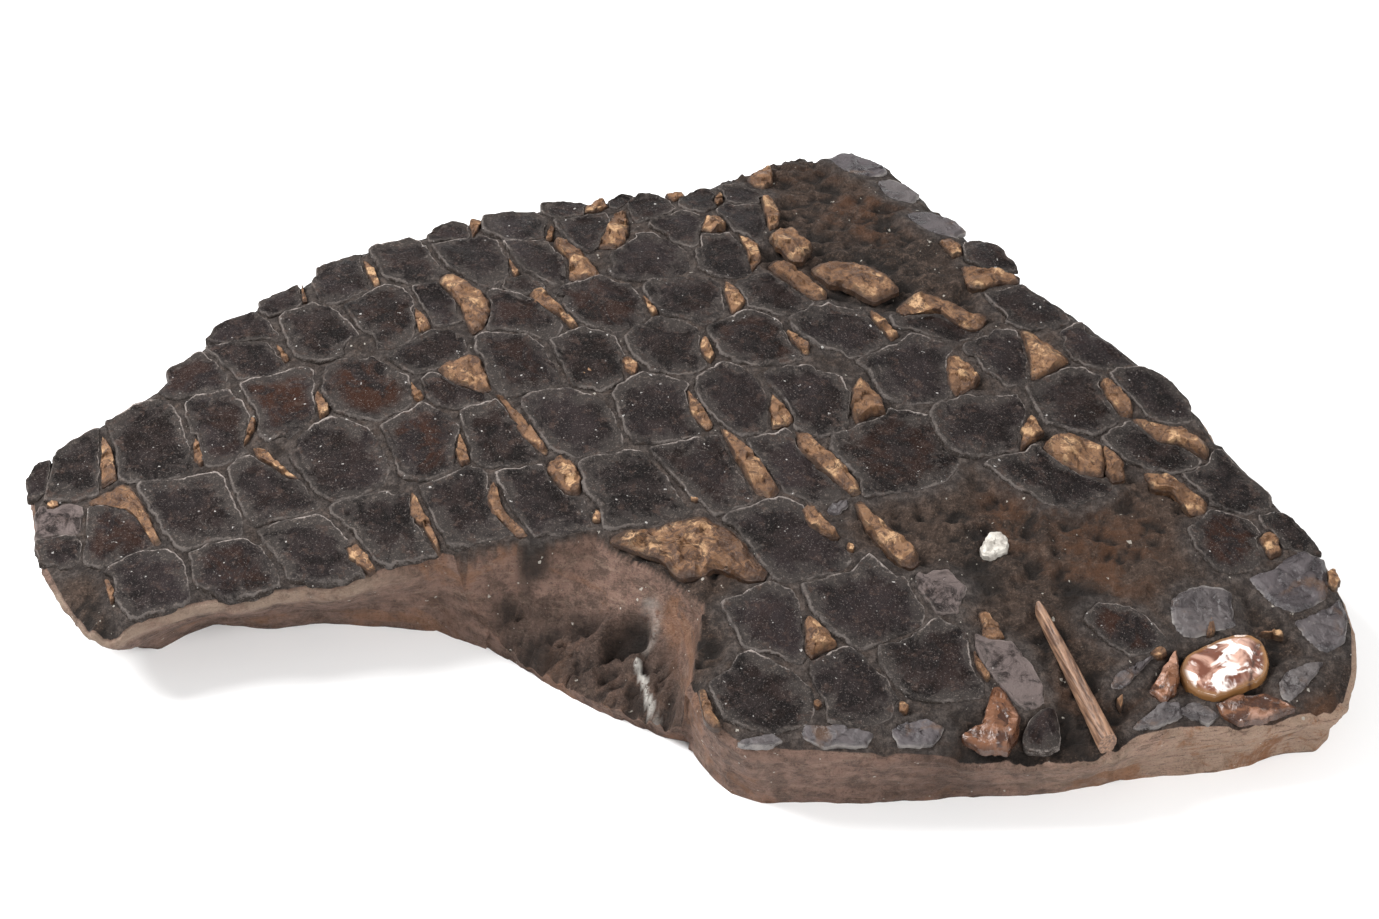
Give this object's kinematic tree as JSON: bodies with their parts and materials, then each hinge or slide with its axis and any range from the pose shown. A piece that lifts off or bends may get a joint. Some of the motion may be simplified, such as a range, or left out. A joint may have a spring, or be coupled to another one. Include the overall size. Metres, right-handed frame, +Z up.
{
  "type": "fossil lepidotes fish slab",
  "caption": "Loose slab of brown stone with the rhombic scale armour and broken bones of a fossil fish on its domed upper face, for display.",
  "frame": {"origin": "centre of the bounding box's bottom face, on the flat face that the slab rests on", "axes": "+X along the slab from its tail end to its wide end, +Y from the front edge to the back, +Z up out of the scaled face"},
  "size_m": [0.3344, 0.2368, 0.0404],
  "materials": {
    "brown_stone": "matt, gritty brown mudstone with orange stains",
    "dark_scale": "semi-gloss charcoal enamel with pale grey rims",
    "grey_scale": "worn blue-grey enamel",
    "glossy_scale": "polished pinkish brown enamel",
    "tan_bone": "tan broken bone, slightly glossy on worn faces",
    "fin_bone": "brown fin spine with a fine grain",
    "white_calcite": "dull white calcite"
  },
  "bodies": {
    "root": {"back_blade": "tan_bone", "back_bone_1": "tan_bone", "back_bone_3": "tan_bone", "back_bone_4": "tan_bone", "blade_bone": "tan_bone", "block_bone": "tan_bone", "dark_lens": "dark_scale", "edge_bone": "tan_bone", "fin_ray": "fin_bone", "front_bone_1": "tan_bone", "front_bone_3": "tan_bone", "front_bone_4": "tan_bone", "front_bone_5": "tan_bone", "front_bone_6": "tan_bone", "front_bone_7": "tan_bone", "glossy_scale": "glossy_scale", "grey_flake": "grey_scale", "grey_plate_1": "grey_scale", "grey_plate_2": "grey_scale", "grey_plate_3": "grey_scale", "large_bone": "tan_bone", "loose_scale_1": "dark_scale", "loose_scale_2": "dark_scale", "loose_scale_3": "dark_scale", "middle_bone_1": "tan_bone", "middle_bone_2": "tan_bone", "middle_bone_3": "tan_bone", "oval_bone": "tan_bone", "right_bone_1": "tan_bone", "right_bone_10": "tan_bone", "right_bone_11": "tan_bone", "right_bone_12": "tan_bone", "right_bone_2": "tan_bone", "right_bone_3": "tan_bone", "right_bone_6": "tan_bone", "right_bone_7": "tan_bone", "right_bone_8": "tan_bone", "right_bone_9": "tan_bone", "rod_bone_1": "tan_bone", "rod_bone_2": "tan_bone", "rod_bone_3": "tan_bone", "rod_bone_4": "tan_bone", "rough_bone": "tan_bone", "ruffled_bone": "tan_bone", "scale_armour": "dark_scale", "stone_matrix": "brown_stone", "tail_bone_1": "tan_bone", "tail_bone_2": "tan_bone", "white_pebble": "white_calcite"}
  },
  "joints": []
}
